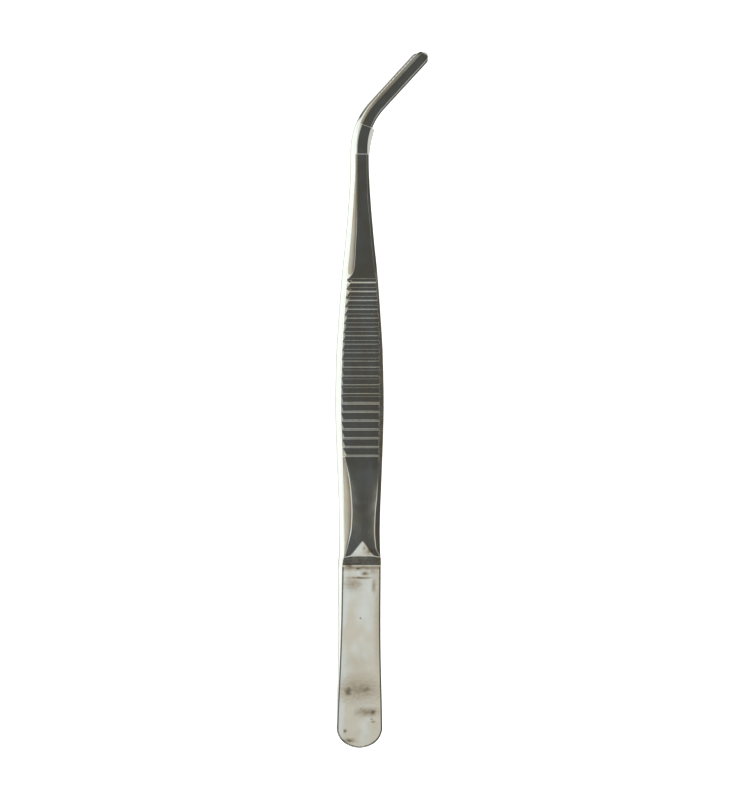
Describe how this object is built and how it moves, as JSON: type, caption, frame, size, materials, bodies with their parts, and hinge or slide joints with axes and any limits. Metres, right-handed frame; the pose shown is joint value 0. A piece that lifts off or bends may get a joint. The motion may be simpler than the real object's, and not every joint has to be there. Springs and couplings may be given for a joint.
{
  "type": "crucible tongs",
  "caption": "Sprung steel crucible tongs: two mirrored arms welded at a flat round heel, with ribbed grips, slim shanks and jaws bent to one side.",
  "frame": {"origin": "bottom centre of the box of the whole tool, on the surface it lies on", "axes": "+Y runs from the heel to the tips, +X is the side the tips bend to, +Z runs from the rear arm to the front arm, which is the way the jaws open"},
  "size_m": [0.0206, 0.16, 0.0184],
  "materials": {
    "ground_steel": "ground and polished stainless steel with heat and handling stains",
    "weld_steel": "ground weld metal"
  },
  "bodies": {
    "heel": {"heel_weld": "weld_steel", "front_leaf": "ground_steel", "rear_leaf": "ground_steel"},
    "front_arm": {"front_blade": "ground_steel"},
    "rear_arm": {"rear_blade": "ground_steel"}
  },
  "joints": [
    {"name": "front_squeeze", "type": "hinge", "parent": "heel", "child": "front_arm", "pos_m": [-0.00508, -0.055, 0.0124], "axis": [-1, 0, 0], "range_deg": [0, 2.35], "stiffness_Nm_per_rad": 6.5},
    {"name": "rear_squeeze", "type": "hinge", "parent": "heel", "child": "rear_arm", "pos_m": [-0.00508, -0.055, 0.006], "axis": [1, 0, 0], "range_deg": [0, 2.35], "stiffness_Nm_per_rad": 6.5}
  ]
}
